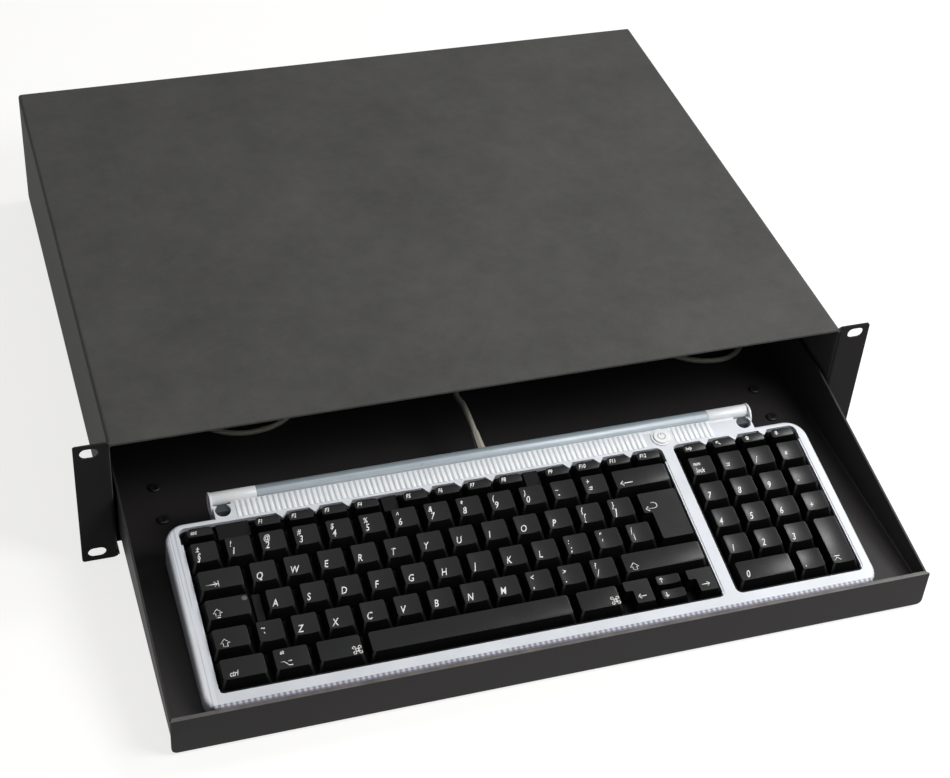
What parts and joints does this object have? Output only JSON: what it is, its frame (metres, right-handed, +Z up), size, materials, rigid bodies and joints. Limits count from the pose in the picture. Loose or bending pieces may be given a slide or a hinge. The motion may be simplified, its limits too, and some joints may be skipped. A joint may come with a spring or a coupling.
{
  "type": "rack keyboard drawer",
  "caption": "Two-unit rack-mount drawer on ball-bearing slides, half pulled out, with a full-width keyboard and its loose cord lying in the tray.",
  "frame": {"origin": "centre of the four rack slots, on the back face of the ears, where they meet the rack rails", "axes": "+X to the right as seen from the front, +Y into the rack, +Z up"},
  "size_m": [0.4826, 0.511, 0.0882],
  "materials": {
    "chassis_paint": "fine textured powder coat, satin",
    "drawer_paint": "fine textured powder coat, satin",
    "zinc_steel": "bright zinc plate",
    "rivet_steel": "plain steel, dull",
    "ball_steel": "polished bearing steel",
    "black_screw_steel": "black finish, satin",
    "black_rubber": "matt",
    "key_plastic": "fine matt",
    "plate_plastic": "matt",
    "membrane_film": "clear film, dull",
    "clear_plastic": "clear, polished",
    "frosted_plastic": "translucent, frosted inside",
    "button_plastic": "translucent, polished",
    "white_plastic": "smooth",
    "dark_plastic": "satin",
    "mat_rubber": "matt",
    "board_laminate": "satin",
    "cord_plastic": "soft, satin",
    "plug_steel": "satin"
  },
  "bodies": {
    "chassis": {"chassis_shell": "chassis_paint", "rear_panel": "chassis_paint", "rear_panel_rivets": "rivet_steel", "slide_outer_left": "zinc_steel", "slide_outer_right": "zinc_steel", "slide_outer_rivets": "rivet_steel", "slide_bumpers": "black_rubber"},
    "cage_left": {"ball_cage_left": "zinc_steel", "slide_balls_left": "ball_steel"},
    "cage_right": {"ball_cage_right": "zinc_steel", "slide_balls_right": "ball_steel"},
    "drawer": {"drawer_tray": "drawer_paint", "drawer_front": "drawer_paint", "slide_inner_left": "zinc_steel", "slide_inner_right": "zinc_steel", "tray_screws": "black_screw_steel", "kb_top_frame": "clear_plastic", "kb_bottom_case": "frosted_plastic", "key_plate": "plate_plastic", "well_frame_main": "plate_plastic", "well_frame_keypad": "plate_plastic", "dome_mat": "mat_rubber", "key_membrane": "membrane_film", "controller_board": "board_laminate", "rear_tube": "clear_plastic", "tube_cap_left": "white_plastic", "tube_cap_right": "white_plastic", "usb_port_left": "dark_plastic", "usb_port_right": "dark_plastic", "power_ring": "white_plastic", "kb_case_screws": "black_screw_steel", "kb_front_pads": "black_rubber", "cord_strain_relief": "cord_plastic", "keyboard_cord": "cord_plastic", "cord_plug": "cord_plastic", "cord_plug_shell": "plug_steel"},
    "button": {"power_button": "button_plastic"},
    "foot": {"kb_rear_foot": "frosted_plastic", "kb_foot_pads": "black_rubber"},
    "key_backspace_body": {"key_backspace": "key_plastic"},
    "key_caps_lock_body": {"key_caps_lock": "key_plastic"},
    "key_pad_enter_body": {"key_pad_enter": "key_plastic"},
    "key_pad_zero_body": {"key_pad_zero": "key_plastic"},
    "key_return_body": {"key_return": "key_plastic"},
    "key_shift_left_body": {"key_shift_left": "key_plastic"},
    "key_shift_right_body": {"key_shift_right": "key_plastic"},
    "key_space_body": {"key_space": "key_plastic"},
    "key_tab_body": {"key_tab": "key_plastic"},
    "keys_arrows_body": {"keys_arrows": "key_plastic"},
    "keys_function_row_body": {"keys_function_row": "key_plastic"},
    "keys_home_letters_body": {"keys_home_letters": "key_plastic"},
    "keys_lower_letters_body": {"keys_lower_letters": "key_plastic"},
    "keys_modifiers_body": {"keys_modifiers": "key_plastic"},
    "keys_number_row_body": {"keys_number_row": "key_plastic"},
    "keys_pad_navigation_body": {"keys_pad_navigation": "key_plastic"},
    "keys_pad_numbers_body": {"keys_pad_numbers": "key_plastic"},
    "keys_upper_letters_body": {"keys_upper_letters": "key_plastic"}
  },
  "joints": [
    {"name": "drawer_slide", "type": "slide", "parent": "chassis", "child": "drawer", "axis": [0, -1, 0], "range_m": [-0.15, 0.075]},
    {"name": "cage_left_slide", "type": "slide", "parent": "chassis", "child": "cage_left", "axis": [0, -1, 0], "range_m": [-0.075, 0.0375]},
    {"name": "cage_right_slide", "type": "slide", "parent": "chassis", "child": "cage_right", "axis": [0, -1, 0], "range_m": [-0.075, 0.0375]},
    {"name": "key_backspace_press", "type": "slide", "parent": "drawer", "child": "key_backspace_body", "axis": [0, 0.168, -0.9858], "range_m": [0, 0.003], "stiffness_N_per_m": 150, "springref_m": -0.003},
    {"name": "key_caps_lock_press", "type": "slide", "parent": "drawer", "child": "key_caps_lock_body", "axis": [0, 0.168, -0.9858], "range_m": [0, 0.003], "stiffness_N_per_m": 150, "springref_m": -0.003},
    {"name": "key_pad_enter_press", "type": "slide", "parent": "drawer", "child": "key_pad_enter_body", "axis": [0, 0.168, -0.9858], "range_m": [0, 0.003], "stiffness_N_per_m": 150, "springref_m": -0.003},
    {"name": "key_pad_zero_press", "type": "slide", "parent": "drawer", "child": "key_pad_zero_body", "axis": [0, 0.168, -0.9858], "range_m": [0, 0.003], "stiffness_N_per_m": 150, "springref_m": -0.003},
    {"name": "key_return_press", "type": "slide", "parent": "drawer", "child": "key_return_body", "axis": [0, 0.168, -0.9858], "range_m": [0, 0.003], "stiffness_N_per_m": 150, "springref_m": -0.003},
    {"name": "key_shift_left_press", "type": "slide", "parent": "drawer", "child": "key_shift_left_body", "axis": [0, 0.168, -0.9858], "range_m": [0, 0.003], "stiffness_N_per_m": 150, "springref_m": -0.003},
    {"name": "key_shift_right_press", "type": "slide", "parent": "drawer", "child": "key_shift_right_body", "axis": [0, 0.168, -0.9858], "range_m": [0, 0.003], "stiffness_N_per_m": 150, "springref_m": -0.003},
    {"name": "key_space_press", "type": "slide", "parent": "drawer", "child": "key_space_body", "axis": [0, 0.168, -0.9858], "range_m": [0, 0.003], "stiffness_N_per_m": 150, "springref_m": -0.003},
    {"name": "key_tab_press", "type": "slide", "parent": "drawer", "child": "key_tab_body", "axis": [0, 0.168, -0.9858], "range_m": [0, 0.003], "stiffness_N_per_m": 150, "springref_m": -0.003},
    {"name": "keys_arrows_press", "type": "slide", "parent": "drawer", "child": "keys_arrows_body", "axis": [0, 0.168, -0.9858], "range_m": [0, 0.003], "stiffness_N_per_m": 195, "springref_m": -0.003},
    {"name": "keys_function_row_press", "type": "slide", "parent": "drawer", "child": "keys_function_row_body", "axis": [0, 0.168, -0.9858], "range_m": [0, 0.003], "stiffness_N_per_m": 330, "springref_m": -0.003},
    {"name": "keys_home_letters_press", "type": "slide", "parent": "drawer", "child": "keys_home_letters_body", "axis": [0, 0.168, -0.9858], "range_m": [0, 0.003], "stiffness_N_per_m": 315, "springref_m": -0.003},
    {"name": "keys_lower_letters_press", "type": "slide", "parent": "drawer", "child": "keys_lower_letters_body", "axis": [0, 0.168, -0.9858], "range_m": [0, 0.003], "stiffness_N_per_m": 300, "springref_m": -0.003},
    {"name": "keys_modifiers_press", "type": "slide", "parent": "drawer", "child": "keys_modifiers_body", "axis": [0, 0.168, -0.9858], "range_m": [0, 0.003], "stiffness_N_per_m": 195, "springref_m": -0.003},
    {"name": "keys_number_row_press", "type": "slide", "parent": "drawer", "child": "keys_number_row_body", "axis": [0, 0.168, -0.9858], "range_m": [0, 0.003], "stiffness_N_per_m": 330, "springref_m": -0.003},
    {"name": "keys_pad_navigation_press", "type": "slide", "parent": "drawer", "child": "keys_pad_navigation_body", "axis": [0, 0.168, -0.9858], "range_m": [0, 0.003], "stiffness_N_per_m": 195, "springref_m": -0.003},
    {"name": "keys_pad_numbers_press", "type": "slide", "parent": "drawer", "child": "keys_pad_numbers_body", "axis": [0, 0.168, -0.9858], "range_m": [0, 0.003], "stiffness_N_per_m": 375, "springref_m": -0.003},
    {"name": "keys_upper_letters_press", "type": "slide", "parent": "drawer", "child": "keys_upper_letters_body", "axis": [0, 0.168, -0.9858], "range_m": [0, 0.003], "stiffness_N_per_m": 315, "springref_m": -0.003},
    {"name": "power_button_press", "type": "slide", "parent": "drawer", "child": "button", "axis": [0, 0.168, -0.9858], "range_m": [0, 0.0008], "stiffness_N_per_m": 200, "springref_m": -0.001},
    {"name": "rear_foot_hinge", "type": "hinge", "parent": "drawer", "child": "foot", "pos_m": [0, -0.03623, -0.01986], "axis": [1, 0, 0], "range_deg": [-86, 0]}
  ],
  "couplings": [
    {"joint": "cage_left_slide", "follows": "drawer_slide", "ratio": 0.5},
    {"joint": "cage_right_slide", "follows": "drawer_slide", "ratio": 0.5}
  ]
}
